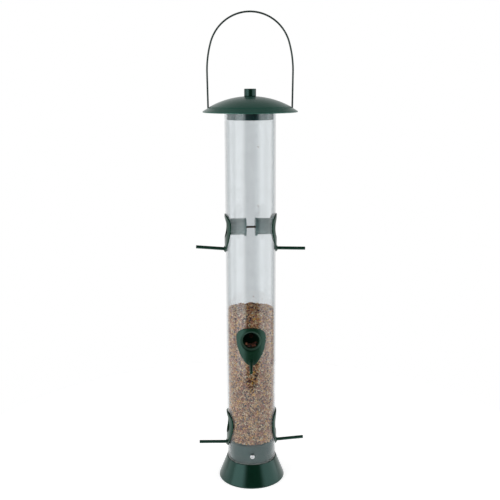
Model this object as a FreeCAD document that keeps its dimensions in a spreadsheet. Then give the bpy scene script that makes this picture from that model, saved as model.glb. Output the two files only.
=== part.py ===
"""Hanging tube feeder for birds: a clear tube with six ports, a flared foot, a lift-up lid and a wire bail.

Frame: millimetres, +Z up, origin at the centre of the foot's rim, where the feeder stands.
-Y is the front, where one of the two middle ports faces. Each port and its perch are built on the
+X axis at height 0, then turned about Z and lifted to their place on the tube.
"""
import FreeCAD, Part
import math
import os
import Sketcher

from FreeCAD import Placement, Rotation, Vector

# ---------------------------------------------------------------- driving dimensions
SIZES = [
    ("tube_radius", 30.0, "outside of the clear tube"),
    ("tube_wall", 1.5, "thickness of the tube's wall"),
    ("tube_bottom", 26.6, "height of the tube's lower end, on the foot's ledge"),
    ("tube_top", 465.0, "height of the tube's upper end, under the lid"),
    ("fit_gap", 0.2, "play between a moulding and the hole it goes through"),
    ("foot_radius", 41.0, "widest part of the foot"),
    ("foot_lip", 1.5, "upright edge round the foot's bottom"),
    ("foot_ledge", 31.0, "radius of the ledge under the tube"),
    ("foot_wall", 2.2, "thickness of the foot's skirt"),
    ("spigot_radius", 28.35, "plug of the foot that fills the tube's lower end"),
    ("spigot_wall", 2.0, "thickness of the spigot"),
    ("spigot_top", 52.0, "height of the floor the seed lies on"),
    ("spigot_chamfer", 3.0, "bevel round the floor"),
    ("base_screw_height", 37.75, "height of the two screws that hold tube and foot together"),
    ("base_screw_shift", 1.0, "how far the base screws stand to the right of the middle"),
    ("port_upper_height", 320.6, "centre of the upper two holes"),
    ("port_middle_height", 186.9, "centre of the middle two holes"),
    ("port_lower_height", 71.6, "centre of the lower two holes"),
    ("port_upper_turn", 3.5, "angle of the upper pair about the tube"),
    ("port_middle_turn", 90.0, "angle of the middle pair about the tube"),
    ("port_lower_turn", 5.6, "angle of the lower pair about the tube"),
    ("shield_inner", 30.05, "inside radius of a port's shield"),
    ("shield_outer", 31.4, "outside radius of a port's shield"),
    ("shield_half_width", 18.0, "half the width of the shield"),
    ("shield_top", 16.4, "top of the shield above the hole's centre"),
    ("shield_bottom", 30.4, "bottom of the shield below the hole's centre"),
    ("shield_top_arc", 30.0, "radius of the shield's top edge"),
    ("shield_shoulder_arc", 11.0, "radius of the shield's shoulders"),
    ("shield_side_arc", 50.0, "radius of the shield's long sides"),
    ("shield_bottom_arc", 9.0, "radius of the shield's lower end"),
    ("neck_radius", 13.8, "outside of the sunk mouth where it crosses the tube"),
    ("mouth_radius", 12.4, "inside of the sunk mouth"),
    ("mouth_seat", 28.3, "distance from the axis of the mouth's flat floor"),
    ("hole_radius", 10.0, "hole in the mouth's floor"),
    ("bore_seat", 26.4, "distance from the axis where the hole has narrowed to the tunnel"),
    ("bore_radius", 9.3, "inside of the tunnel behind the mouth"),
    ("tunnel_radius", 10.5, "outside of the tunnel"),
    ("tunnel_cut", 8.0, "the tunnel is open underneath below this depth"),
    ("plate_radius", 10.85, "radius of the plate that ends the tunnel"),
    ("plate_inner", 5.4, "distance of the plate's inner face from the axis"),
    ("plate_thickness", 2.5, "thickness of the end plate"),
    ("boss_radius", 3.45, "boss that holds the perch"),
    ("boss_end", 32.2, "distance of the boss's face from the axis"),
    ("perch_drop", 26.2, "perch below the hole's centre"),
    ("perch_radius", 1.95, "radius of a perch rod"),
    ("perch_root", 28.6, "distance of the perch's inner end from the axis"),
    ("perch_reach", 65.9, "distance of the perch's tip from the axis"),
    ("perch_edge", 0.4, "rounding of a perch's ends"),
    ("tie_radius", 1.25, "radius of the screw that ties two ports together"),
    ("tie_head_radius", 2.6, "radius of its head"),
    ("tie_head_height", 1.7, "height of its head"),
    ("nut_circumradius", 2.9, "corner radius of the tie screw's nut"),
    ("nut_height", 2.0, "height of the nut"),
    ("base_screw_radius", 1.45, "shank of a base screw"),
    ("base_screw_length", 6.0, "shank length of a base screw"),
    ("base_head_radius", 2.85, "head of a base screw"),
    ("base_head_height", 1.7, "height of a base screw's head"),
    ("lid_rim_radius", 55.4, "outer edge of the lid"),
    ("lid_rim_bottom", 456.2, "lowest edge of the lid"),
    ("lid_rim_height", 1.3, "thickness of the lid's edge"),
    ("lid_crease_radius", 47.3, "where the dome meets the brim"),
    ("lid_crease_height", 462.5, "height of that crease"),
    ("lid_crease_step", 0.5, "drop from the dome's edge to the brim"),
    ("lid_wall", 1.5, "thickness of the dome"),
    ("lid_seat_radius", 8.0, "flat under the knob"),
    ("lid_seat_height", 474.2, "height of that flat"),
    ("slot_inner", 46.0, "inner end of the slot a bail leg slides in"),
    ("slot_outer", 52.6, "outer end of that slot"),
    ("slot_half_width", 1.5, "half the width of that slot"),
    ("plug_radius", 27.3, "lid's plug, inside the tube"),
    ("plug_wall", 1.5, "thickness of the plug"),
    ("plug_bottom", 447.7, "lower edge of the plug"),
    ("plug_flange_radius", 29.8, "flange that rests on the tube's end"),
    ("plug_hub_radius", 7.0, "hub between the flange and the dome"),
    ("plug_notch_top", 459.8, "top of the notch that clears the bail's end"),
    ("knob_radius", 7.0, "radius of the knob"),
    ("knob_top", 483.0, "height of the knob's top"),
    ("knob_edge", 0.8, "rounding of the knob's upper edge"),
    ("knob_screw_radius", 1.5, "shank of the knob's screw"),
    ("knob_screw_end", 480.0, "height of the screw's upper end, inside the knob"),
    ("knob_head_radius", 3.0, "head of the knob's screw"),
    ("knob_head_height", 2.2, "height of that head"),
    ("washer_radius", 5.0, "washer under that head"),
    ("washer_height", 0.8, "thickness of the washer"),
    ("wire_radius", 1.05, "bail wire"),
    ("wire_end", 26.0, "distance of the wire's inner ends from the bail's middle"),
    ("wire_foot_height", 458.2, "height of the wire where it enters the tube"),
    ("wire_bend", 3.0, "radius of the bend at the foot of each leg"),
    ("wire_leg_lean", 0.86, "lean of the legs, in degrees"),
    ("wire_side_arc", 117.0, "radius of the wire above the legs"),
    ("wire_top_arc", 46.8, "radius of the wire at the top"),
    ("wire_top_centre", 522.0, "height of the top arc's centre"),
    ("wire_shoulder", 16.0, "angle above level where the two arcs meet"),
    ("seed_radius", 28.2, "outside of the seed, just inside the tube"),
    ("seed_top", 219.6, "height of the seed"),
    ("seed_gap", 0.3, "space between the seed and what it surrounds"),
]

LEVELS = ("upper", "middle", "lower")

# node end, level, half turn about the tube (0 or 180 degrees), upward tilt of the perch in degrees
PORTS = [
    ("upper_left", "upper", 180, 4.9),
    ("upper_right", "upper", 0, -1.7),
    ("middle_front", "middle", 180, 0.0),
    ("middle_back", "middle", 0, 0.0),
    ("lower_left", "lower", 180, 2.5),
    ("lower_right", "lower", 0, 3.0),
]

FAR = 60.0          # longer than anything a cutting tool has to cross
TO_Y_FACE = Rotation(Vector(1, 0, 0), 90)       # a sketch's x and y become X and Z
TO_X_FACE = Rotation(Vector(1, 1, 1), 120)      # a sketch's x and y become Y and Z

doc = FreeCAD.newDocument("tube_feeder")
sheet = doc.addObject("Spreadsheet::Sheet", "Sizes")
for line, (alias, value, meaning) in enumerate(SIZES, start=1):
    sheet.set(f"A{line}", meaning)
    sheet.set(f"B{line}", str(value))
    sheet.setAlias(f"B{line}", alias)
doc.recompute()

nodes = {}          # node name -> document object


def size(alias):
    """The number in a named cell."""
    return float(sheet.get(alias))


def bind(item, **expressions):
    """Bind properties of an object to the sheet."""
    for name, expression in expressions.items():
        item.setExpression(name, expression)
    return item


def place(item, rotation=None, **offsets):
    """Turn an object and bind its x, y or z to an expression."""
    item.Placement = Placement(Vector(), rotation or Rotation())
    for axis, expression in offsets.items():
        item.setExpression(f"Placement.Base.{axis}", expression)
    return item


def keep(name, item):
    """Name an object as a node of the feeder."""
    item.Label = name
    nodes[name] = item
    return item


# ---------------------------------------------------------------- sketches
def fix_point(sketch, geometry, end, x, y):
    """Bind one point of a sketch to a pair of expressions."""
    for kind, expression in (("DistanceX", x), ("DistanceY", y)):
        value = float(sheet.evalExpression(expression))
        index = sketch.addConstraint(Sketcher.Constraint(kind, geometry, end, value))
        sketch.setExpression(f"Constraints[{index}]", expression)


def draw_outline(sketch, corners, arcs=()):
    """Closed outline through corners given as expressions.

    arcs holds the numbers of the sides that are arcs about a centre on the sketch's upright axis.
    """
    points = [Vector(*[float(sheet.evalExpression(e)) for e in corner], 0) for corner in corners]
    starts = []
    count = len(points)
    for side, here in enumerate(points):
        there = points[(side + 1) % count]
        if side in arcs:
            height = (there.Length ** 2 - here.Length ** 2) / (2 * (there.y - here.y))
            middle = Vector(0, height, 0)
            radius = (here - middle).Length
            angles = [math.atan2(p.y - height, p.x) for p in (here, there)]
            circle = Part.Circle(middle, Vector(0, 0, 1), radius)
            sketch.addGeometry(Part.ArcOfCircle(circle, min(angles), max(angles)), False)
            sketch.addConstraint(Sketcher.Constraint("PointOnObject", side, 3, -2))
            starts.append(1 if angles[0] < angles[1] else 2)
        else:
            sketch.addGeometry(Part.LineSegment(here, there), False)
            starts.append(1)
    for side in range(count):
        after = (side + 1) % count
        sketch.addConstraint(Sketcher.Constraint("Coincident", side, 3 - starts[side], after, starts[after]))
    for side, (x, y) in enumerate(corners):
        fix_point(sketch, side, starts[side], x, y)


def draw_circle(sketch, x, y, radius):
    """Circle with its centre and radius bound to expressions."""
    centre = Vector(float(sheet.evalExpression(x)), float(sheet.evalExpression(y)), 0)
    value = float(sheet.evalExpression(radius))
    index = sketch.addGeometry(Part.Circle(centre, Vector(0, 0, 1), value), False)
    fix_point(sketch, index, 3, x, y)
    constraint = sketch.addConstraint(Sketcher.Constraint("Radius", index, value))
    sketch.setExpression(f"Constraints[{constraint}]", radius)


def body_sketch(body, role, turn=None, lift=None):
    """Sketch on one of a body's own origin planes, turned about its upright axis or lifted."""
    plane = [feature for feature in body.Origin.OriginFeatures if feature.Role == role][0]
    sketch = body.newObject("Sketcher::SketchObject", f"{body.Name}_sketch")
    sketch.AttachmentSupport = [(plane, "")]
    sketch.MapMode = "FlatFace"
    if turn:
        sketch.AttachmentOffset = Placement(Vector(), Rotation(Vector(0, 1, 0), 1))
        sketch.setExpression("AttachmentOffset.Rotation.Angle", turn)
    if lift:
        sketch.setExpression("AttachmentOffset.Base.z", lift)
    return sketch


def new_body(name):
    return keep(name, doc.addObject("PartDesign::Body", name))


def turned_body(name, corners, arcs=()):
    """Body turned about Z from an outline of (radius, height) corners."""
    body = new_body(name)
    sketch = body_sketch(body, "XZ_Plane")
    draw_outline(sketch, corners, arcs)
    turned = body.newObject("PartDesign::Revolution", f"{name}_turned")
    turned.Profile = sketch
    turned.ReferenceAxis = (sketch, ["V_Axis"])
    turned.Angle = 360
    doc.recompute()
    return body


def cut_through(body, sketch):
    """Pocket right through the body, both ways from its sketch."""
    before = body.Shape.Volume
    pocket = body.newObject("PartDesign::Pocket", f"{body.Name}_pocket")
    pocket.Profile = sketch
    pocket.SideType = "Symmetric"
    pocket.Length = 20 * FAR
    doc.recompute()
    if body.Shape.Volume > before - 0.1:
        raise RuntimeError(f"{pocket.Name} cuts nothing")


# ---------------------------------------------------------------- solids and booleans
def cylinder(name, radius, height, rotation=None, **offsets):
    item = bind(doc.addObject("Part::Cylinder", name), Radius=radius, Height=height)
    return place(item, rotation, **offsets)


def box(name, length, width, height, **offsets):
    item = bind(doc.addObject("Part::Box", name), Length=length, Width=width, Height=height)
    return place(item, None, **offsets)


def join(name, *items):
    item = doc.addObject("Part::MultiFuse", name)
    item.Shapes = list(items)
    return item


def cut(name, base, *tools):
    item = doc.addObject("Part::Cut", name)
    item.Base = base
    item.Tool = tools[0] if len(tools) == 1 else join(f"{name}_tools", *tools)
    return item


def common(name, *items):
    item = doc.addObject("Part::MultiCommon", name)
    item.Shapes = list(items)
    return item


def turned_solid(name, corners):
    """Solid turned about X from an outline of (distance along X, radius) corners."""
    sketch = doc.addObject("Sketcher::SketchObject", f"{name}_sketch")
    sketch.Placement = Placement(Vector(), TO_Y_FACE)
    draw_outline(sketch, corners)
    item = doc.addObject("Part::Revolution", name)
    item.Source = sketch
    item.Axis = Vector(1, 0, 0)
    item.Angle = 360
    item.Solid = True
    return item


def round_edges(name, base, radius, picks):
    """Round the circular edges of a solid that a test picks by their centre."""
    doc.recompute()
    item = doc.addObject("Part::Fillet", name)
    item.Base = base
    item.Edges = [
        (number, radius, radius)
        for number, edge in enumerate(base.Shape.Edges, start=1)
        if hasattr(edge.Curve, "Radius") and picks(edge.CenterOfMass)
    ]
    return item


def pan_screw(name, shank_radius, shank_length, head_radius, head_height):
    """Cross-head screw on Z: the head stands on height 0, the shank goes down from it."""
    head = cylinder(f"{name}_head", head_radius, head_height)
    doc.recompute()
    domed = round_edges(f"{name}_dome", head, 0.55 * head.Height.Value, lambda c: c.z > 0.1)
    shank = cylinder(f"{name}_shank", shank_radius, shank_length, z=f"-({shank_length})")
    half, thin, depth = f"0.6 * {head_radius}", f"0.14 * {head_radius}", f"0.6 * {head_height}"
    long_way = box(f"{name}_cross_x", f"2 * {half}", f"2 * {thin}", f"{head_height}",
                   x=f"-{half}", y=f"-{thin}", z=f"{head_height} - {depth}")
    short_way = box(f"{name}_cross_y", f"2 * {thin}", f"2 * {half}", f"{head_height}",
                    x=f"-{thin}", y=f"-{half}", z=f"{head_height} - {depth}")
    return cut(name, join(f"{name}_blank", domed, shank), long_way, short_way)


def along(turn):
    """Rotation that lays the Z axis level, at an angle about the tube."""
    return Rotation(Vector(0, 0, 1), turn) * Rotation(Vector(0, 1, 0), 90)


# ---------------------------------------------------------------- tube, foot and their screws
def feed_tube():
    """Clear tube, pierced for the ports, the perches' ends, the bail's ends and the base screws."""
    body = new_body("feed_tube")
    ring = body_sketch(body, "XY_Plane", lift="Sizes.tube_bottom")
    draw_circle(ring, "0", "0", "Sizes.tube_radius")
    draw_circle(ring, "0", "0", "Sizes.tube_radius - Sizes.tube_wall")
    wall = body.newObject("PartDesign::Pad", "feed_tube_wall")
    wall.Profile = ring
    wall.setExpression("Length", "Sizes.tube_top - Sizes.tube_bottom")
    doc.recompute()
    for level in LEVELS:
        holes = body_sketch(body, "YZ_Plane", turn=f"Sizes.port_{level}_turn")
        centre = f"Sizes.port_{level}_height"
        draw_circle(holes, "0", centre, "Sizes.neck_radius + Sizes.fit_gap")
        draw_circle(holes, "0", f"{centre} - Sizes.perch_drop", "Sizes.perch_radius + 2 * Sizes.fit_gap")
        cut_through(body, holes)
    ends = body_sketch(body, "YZ_Plane")
    draw_circle(ends, "0", "Sizes.wire_foot_height", "Sizes.wire_radius + Sizes.fit_gap")
    cut_through(body, ends)
    screws = body_sketch(body, "XZ_Plane")
    draw_circle(screws, "Sizes.base_screw_shift", "Sizes.base_screw_height",
                "Sizes.base_screw_radius + Sizes.fit_gap")
    cut_through(body, screws)


def base_foot():
    """Flared foot with a hollow spigot that plugs the tube and carries the seed."""
    skirt_top = "Sizes.tube_bottom - Sizes.foot_wall"
    spigot_inside = "Sizes.spigot_radius - Sizes.spigot_wall"
    body = turned_body("base_foot", [
        ("Sizes.foot_radius - Sizes.foot_wall", "0"),
        ("Sizes.foot_radius - 0.5", "0"),
        ("Sizes.foot_radius", "0.5"),
        ("Sizes.foot_radius", "Sizes.foot_lip"),
        ("Sizes.foot_ledge", "Sizes.tube_bottom"),
        ("Sizes.spigot_radius", "Sizes.tube_bottom"),
        ("Sizes.spigot_radius", "Sizes.spigot_top - Sizes.spigot_chamfer"),
        ("Sizes.spigot_radius - Sizes.spigot_chamfer", "Sizes.spigot_top"),
        ("0", "Sizes.spigot_top"),
        ("0", "Sizes.spigot_top - Sizes.spigot_wall"),
        (f"{spigot_inside} - 1.8", "Sizes.spigot_top - Sizes.spigot_wall"),
        (spigot_inside, "Sizes.spigot_top - Sizes.spigot_wall - 1.8"),
        (spigot_inside, skirt_top),
        ("Sizes.foot_ledge - Sizes.foot_wall + 0.4", skirt_top),
    ])
    pilots = body_sketch(body, "XZ_Plane")
    draw_circle(pilots, "Sizes.base_screw_shift", "Sizes.base_screw_height", "Sizes.base_screw_radius")
    cut_through(body, pilots)


def base_screws():
    """Two screws through the tube into the spigot, one in front and one behind."""
    pair = []
    for side, turn in (("front", -90), ("back", 90)):
        screw = pan_screw(f"base_screw_{side}", "Sizes.base_screw_radius", "Sizes.base_screw_length",
                          "Sizes.base_head_radius", "Sizes.base_head_height")
        outward = "-1" if side == "front" else "1"
        place(screw, along(turn), x="Sizes.base_screw_shift", y=f"{outward} * Sizes.tube_radius",
              z="Sizes.base_screw_height")
        pair.append(screw)
    group = doc.addObject("Part::Compound", "base_screws")
    group.Links = pair
    keep("base_screws", group)


# ---------------------------------------------------------------- ports, perches and their ties
def shield_outline():
    """Egg outline of a port's shield: six arcs, each tangent to the next."""
    top, bottom = size("shield_top"), -size("shield_bottom")
    half = size("shield_half_width")
    top_arc, shoulder_arc = size("shield_top_arc"), size("shield_shoulder_arc")
    low_arc = size("shield_bottom_arc")
    lean = math.asin((half - shoulder_arc) / (top_arc - shoulder_arc))
    crown = Vector(top_arc * math.sin(lean), top - top_arc * (1 - math.cos(lean)), 0)
    flank = Vector(half, crown.y - shoulder_arc * math.cos(lean), 0)
    heel = Vector(0.79 * low_arc, bottom + 0.39 * low_arc, 0)
    bulge = Vector((flank.x + heel.x) / 2 + 2, (flank.y + heel.y) / 2, 0)
    shoulder = Vector(half - 0.29 * shoulder_arc, flank.y + 0.71 * shoulder_arc, 0)
    mirror = [Vector(-p.x, p.y, 0) for p in (crown, shoulder, flank, bulge, heel)]
    sketch = doc.addObject("Sketcher::SketchObject", "shield_outline")
    arcs = [
        Part.Arc(crown, Vector(0, top, 0), mirror[0]),
        Part.Arc(mirror[0], mirror[1], mirror[2]),
        Part.Arc(mirror[2], mirror[3], mirror[4]),
        Part.Arc(mirror[4], Vector(0, bottom, 0), heel),
        Part.Arc(heel, bulge, flank),
        Part.Arc(flank, shoulder, crown),
    ]
    for arc in arcs:
        sketch.addGeometry(arc, False)
    for side in range(6):
        sketch.addConstraint(Sketcher.Constraint("Tangent", side, 2, (side + 1) % 6, 1))
    names = ("top", "shoulder", "side", "bottom", "side", "shoulder")
    for side, name in enumerate(names):
        alias = f"shield_{name}_arc"
        index = sketch.addConstraint(Sketcher.Constraint("Radius", side, size(alias)))
        sketch.setExpression(f"Constraints[{index}]", f"Sizes.{alias}")
    fix_point(sketch, 0, 3, "0", "Sizes.shield_top - Sizes.shield_top_arc")
    fix_point(sketch, 3, 3, "0", "Sizes.shield_bottom_arc - Sizes.shield_bottom")
    for side, sign in ((5, ""), (1, "-")):
        expression = f"{sign}(Sizes.shield_half_width - Sizes.shield_shoulder_arc)"
        value = float(sheet.evalExpression(expression))
        index = sketch.addConstraint(Sketcher.Constraint("DistanceX", side, 3, value))
        sketch.setExpression(f"Constraints[{index}]", expression)
    sketch.Placement = Placement(Vector(10, 0, 0), TO_X_FACE)
    return sketch


def port_shell():
    """Port moulding on +X: curved shield, sunk mouth, tunnel open underneath and end plate."""
    egg = doc.addObject("Part::Extrusion", "shield_block")
    egg.Base = shield_outline()
    egg.DirMode = "Custom"
    egg.Dir = Vector(1, 0, 0)
    egg.LengthFwd = FAR
    egg.Solid = True
    around = {"height": f"{2 * FAR}", "z": f"-{FAR}"}
    outside = cylinder("shield_outside", "Sizes.shield_outer", **around)
    shield = common("shield_plate", egg, cut("shield_ring", outside, cylinder(
        "shield_inside", "Sizes.shield_inner", **around)))
    plate_outer = "Sizes.plate_inner + Sizes.plate_thickness"
    neck = common("neck", outside, turned_solid("neck_block", [
        ("Sizes.plate_inner", "0"),
        ("Sizes.plate_inner", "Sizes.plate_radius"),
        (plate_outer, "Sizes.plate_radius"),
        (plate_outer, "Sizes.tunnel_radius"),
        ("Sizes.bore_seat - 0.8", "Sizes.tunnel_radius"),
        ("Sizes.mouth_seat - 1.3", "Sizes.neck_radius"),
        ("Sizes.boss_end", "Sizes.neck_radius"),
        ("Sizes.boss_end", "0"),
    ]))
    boss = cut("boss", cylinder("boss_block", "Sizes.boss_radius", "Sizes.boss_end", along(0),
                                z="-Sizes.perch_drop"),
               cylinder("boss_inside", "Sizes.shield_inner", **around))
    mouth = turned_solid("mouth", [
        (plate_outer, "0"),
        (plate_outer, "Sizes.bore_radius"),
        ("Sizes.bore_seat", "Sizes.bore_radius"),
        ("Sizes.mouth_seat", "Sizes.hole_radius"),
        ("Sizes.mouth_seat", "Sizes.mouth_radius"),
        ("Sizes.boss_end + 1", "Sizes.mouth_radius + 0.3"),
        ("Sizes.boss_end + 1", "0"),
    ])
    underside = box("underside", f"Sizes.bore_seat - 1.2 - ({plate_outer})",
                    f"{FAR}", "Sizes.tunnel_radius", x=plate_outer, y=f"-{FAR} / 2",
                    z="-Sizes.tunnel_cut - Sizes.tunnel_radius")
    tie_hole = cylinder("tie_hole", "Sizes.tie_radius + Sizes.fit_gap", f"{FAR} / 2", along(0))
    return cut("port_shell", join("port_blank", shield, neck, boss), mouth, underside, tie_hole)


def stand_on_tube(item, level, half_turn):
    """Turn an item about the tube to its port's angle and lift it to the port's height."""
    place(item, Rotation(Vector(0, 0, 1), 1), z=f"Sizes.port_{level}_height")
    item.setExpression("Placement.Rotation.Angle", f"Sizes.port_{level}_turn + {half_turn}")


def ports_and_perches():
    """Six ports from one shell, each with the bore of its own perch, and the six perches."""
    shell = port_shell()
    for end, level, half_turn, tilt in PORTS:
        lean = Rotation(Vector(0, 1, 0), 90 - tilt)
        drop = f"-Sizes.perch_drop - (Sizes.shield_outer - Sizes.perch_root) * tan({tilt} deg)"
        root = {"x": "Sizes.perch_root", "z": drop}
        bore = cylinder(f"perch_bore_{end}", "Sizes.perch_radius", f"{FAR}", lean, **root)
        port = keep(f"port_{end}", cut(f"port_{end}", shell, bore))
        stand_on_tube(port, level, half_turn)
        rod = cylinder(f"rod_{end}", "Sizes.perch_radius", "Sizes.perch_reach - Sizes.perch_root",
                       lean, **root)
        perch = round_edges(f"perch_{end}", rod, size("perch_edge"), lambda c: True)
        stand_on_tube(keep(f"perch_{end}", perch), level, half_turn)


def ties():
    """A long screw and a nut that pull the two ports of each level together across the tube."""
    seat = "Sizes.plate_inner + Sizes.plate_thickness"
    for level in LEVELS:
        turn = size(f"port_{level}_turn")
        screw = pan_screw(f"tie_screw_{level}", "Sizes.tie_radius",
                          f"2 * ({seat}) + Sizes.nut_height + 1",
                          "Sizes.tie_head_radius", "Sizes.tie_head_height")
        reach = {"x": f"({seat}) * cos({turn} deg)", "y": f"({seat}) * sin({turn} deg)",
                 "z": f"Sizes.port_{level}_height"}
        place(keep(f"tie_screw_{level}", screw), along(turn), **reach)
        hexagon = bind(doc.addObject("Part::Prism", f"hexagon_{level}"),
                       Circumradius="Sizes.nut_circumradius", Height="Sizes.nut_height")
        nut = cut(f"tie_nut_{level}", hexagon, cylinder(f"nut_thread_{level}", "Sizes.tie_radius",
                                                        "Sizes.nut_height"))
        back = {"x": f"-({reach['x']})", "y": f"-({reach['y']})", "z": reach["z"]}
        place(keep(f"tie_nut_{level}", nut), along(turn + 180), **back)


# ---------------------------------------------------------------- lid
def lid_dome():
    """Domed lid with a sloping brim and two slots that the bail's legs slide in."""
    hole = "Sizes.knob_screw_radius + Sizes.fit_gap"
    under_seat = "Sizes.lid_seat_height - Sizes.lid_wall"
    body = turned_body("lid_dome", [
        (hole, "Sizes.lid_seat_height"),
        ("Sizes.lid_seat_radius", "Sizes.lid_seat_height"),
        ("Sizes.lid_crease_radius", "Sizes.lid_crease_height"),
        ("Sizes.lid_crease_radius + 0.4", "Sizes.lid_crease_height - Sizes.lid_crease_step"),
        ("Sizes.lid_rim_radius - 0.3", "Sizes.lid_rim_bottom + Sizes.lid_rim_height"),
        ("Sizes.lid_rim_radius", "Sizes.lid_rim_bottom + Sizes.lid_rim_height - 0.4"),
        ("Sizes.lid_rim_radius", "Sizes.lid_rim_bottom"),
        ("Sizes.lid_rim_radius - 1.1", "Sizes.lid_rim_bottom"),
        ("Sizes.lid_crease_radius - 0.3", "Sizes.lid_crease_height - Sizes.lid_wall - 0.5"),
        ("Sizes.lid_seat_radius", under_seat),
        (hole, under_seat),
    ], arcs=(1, 8))
    slots = body_sketch(body, "XY_Plane")
    for first, (near, far) in enumerate((("slot_inner", "slot_outer"), ("slot_outer", "slot_inner"))):
        sign = "-" if first else ""
        draw_slot(slots, 4 * first, f"{sign}Sizes.{near}", f"{sign}Sizes.{far}")
    cut_through(body, slots)


def draw_slot(sketch, first, left, right):
    """Rectangle between two x values, as wide as a bail slot, whose sides are numbered from first."""
    low, high = "-Sizes.slot_half_width", "Sizes.slot_half_width"
    corners = [(left, low), (right, low), (right, high), (left, high)]
    points = [Vector(*[float(sheet.evalExpression(e)) for e in corner], 0) for corner in corners]
    for side in range(4):
        sketch.addGeometry(Part.LineSegment(points[side], points[(side + 1) % 4]), False)
    for side in range(4):
        sketch.addConstraint(Sketcher.Constraint(
            "Coincident", first + side, 2, first + (side + 1) % 4, 1))
        fix_point(sketch, first + side, 1, *corners[side])


def lid_plug():
    """Plug under the lid: a skirt inside the tube, a flange on the tube's end and a hub."""
    hole = "Sizes.knob_screw_radius + Sizes.fit_gap"
    flange_top = "Sizes.tube_top + Sizes.plug_wall"
    under_dome = "Sizes.lid_seat_height - Sizes.lid_wall"
    inside = "Sizes.plug_radius - Sizes.plug_wall"
    body = turned_body("lid_plug", [
        (hole, "Sizes.tube_top"),
        (inside, "Sizes.tube_top"),
        (inside, "Sizes.plug_bottom"),
        ("Sizes.plug_radius - 0.4", "Sizes.plug_bottom"),
        ("Sizes.plug_radius", "Sizes.plug_bottom + 0.6"),
        ("Sizes.plug_radius", "Sizes.tube_top"),
        ("Sizes.plug_flange_radius", "Sizes.tube_top"),
        ("Sizes.plug_flange_radius", flange_top),
        ("Sizes.plug_hub_radius", flange_top),
        ("Sizes.plug_hub_radius", under_dome),
        (hole, under_dome),
    ])
    notch = body_sketch(body, "YZ_Plane")
    low = "Sizes.plug_bottom - 1"
    draw_outline(notch, [
        ("-Sizes.slot_half_width", low),
        ("Sizes.slot_half_width", low),
        ("Sizes.slot_half_width", "Sizes.plug_notch_top"),
        ("-Sizes.slot_half_width", "Sizes.plug_notch_top"),
    ])
    cut_through(body, notch)


def lid_knob():
    """Knob on the lid's flat, bored from below for its screw."""
    block = cylinder("knob_block", "Sizes.knob_radius", "Sizes.knob_top - Sizes.lid_seat_height",
                     z="Sizes.lid_seat_height")
    rounded = round_edges("knob_rounded", block, size("knob_edge"), lambda c: c.z > size("knob_top") - 1)
    bore = cylinder("knob_bore", "Sizes.knob_screw_radius",
                    "Sizes.knob_screw_end + 0.5 - Sizes.lid_seat_height", z="Sizes.lid_seat_height")
    keep("lid_knob", cut("lid_knob", rounded, bore))


def knob_fastening():
    """Screw and washer that hold plug, dome and knob together from below."""
    seat = "Sizes.tube_top - Sizes.washer_height"
    screw = pan_screw("knob_screw", "Sizes.knob_screw_radius", f"Sizes.knob_screw_end - ({seat})",
                      "Sizes.knob_head_radius", "Sizes.knob_head_height")
    place(keep("knob_screw", screw), Rotation(Vector(1, 0, 0), 180), z=seat)
    washer = cut("knob_washer", cylinder("washer_disc", "Sizes.washer_radius", "Sizes.washer_height",
                                         z=seat),
                 cylinder("washer_hole", "Sizes.knob_screw_radius + Sizes.fit_gap",
                          "Sizes.washer_height", z=seat))
    keep("knob_washer", washer)


# ---------------------------------------------------------------- bail
def bail_path():
    """Half of the bail, from its end inside the tube to its top, as points and tangent arcs."""
    lean, shoulder = math.radians(size("wire_leg_lean")), math.radians(size("wire_shoulder"))
    top_arc, side_arc, bend = size("wire_top_arc"), size("wire_side_arc"), size("wire_bend")
    foot = size("wire_foot_height")
    top_centre = Vector(0, 0, size("wire_top_centre"))

    def on_arc(centre, radius, angle):
        return centre + Vector(radius * math.cos(angle), 0, radius * math.sin(angle))

    side_centre = on_arc(top_centre, top_arc - side_arc, shoulder)
    leg_top = on_arc(side_centre, side_arc, -lean)
    down = Vector(-math.sin(lean), 0, -math.cos(lean))
    bend_top_height = foot + bend - bend * math.sin(lean)
    leg_foot = leg_top + down * ((leg_top.z - bend_top_height) / math.cos(lean))
    bend_centre = on_arc(leg_foot, -bend, -lean)
    return [
        Part.LineSegment(Vector(size("wire_end"), 0, foot), bend_centre - Vector(0, 0, bend)),
        Part.Arc(bend_centre - Vector(0, 0, bend), on_arc(bend_centre, bend, -math.pi / 4), leg_foot),
        Part.LineSegment(leg_foot, leg_top),
        Part.Arc(leg_top, on_arc(side_centre, side_arc, (shoulder - lean) / 2),
                 on_arc(side_centre, side_arc, shoulder)),
        Part.Arc(on_arc(top_centre, top_arc, shoulder),
                 on_arc(top_centre, top_arc, (shoulder + math.pi / 2) / 2),
                 on_arc(top_centre, top_arc, math.pi / 2)),
    ]


def bail_wire():
    """One wire swept from the tube's wall up one side, over the top and down the other side."""
    half = [curve.toShape() for curve in bail_path()]
    other = [edge.mirror(Vector(), Vector(1, 0, 0)) for edge in half]
    spine = Part.Wire(Part.__sortEdges__(half + other))
    start = Vector(size("wire_end"), 0, size("wire_foot_height"))
    section = Part.Wire(Part.makeCircle(size("wire_radius"), start, Vector(1, 0, 0)))
    wire = doc.addObject("Part::Feature", "bail_wire")
    wire.Shape = spine.makePipeShell([section], True, True)
    expected = math.pi * size("wire_radius") ** 2 * spine.Length
    print(f"bail: volume {wire.Shape.Volume:.0f}, section times length {expected:.0f}")
    keep("bail_wire", wire)


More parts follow.
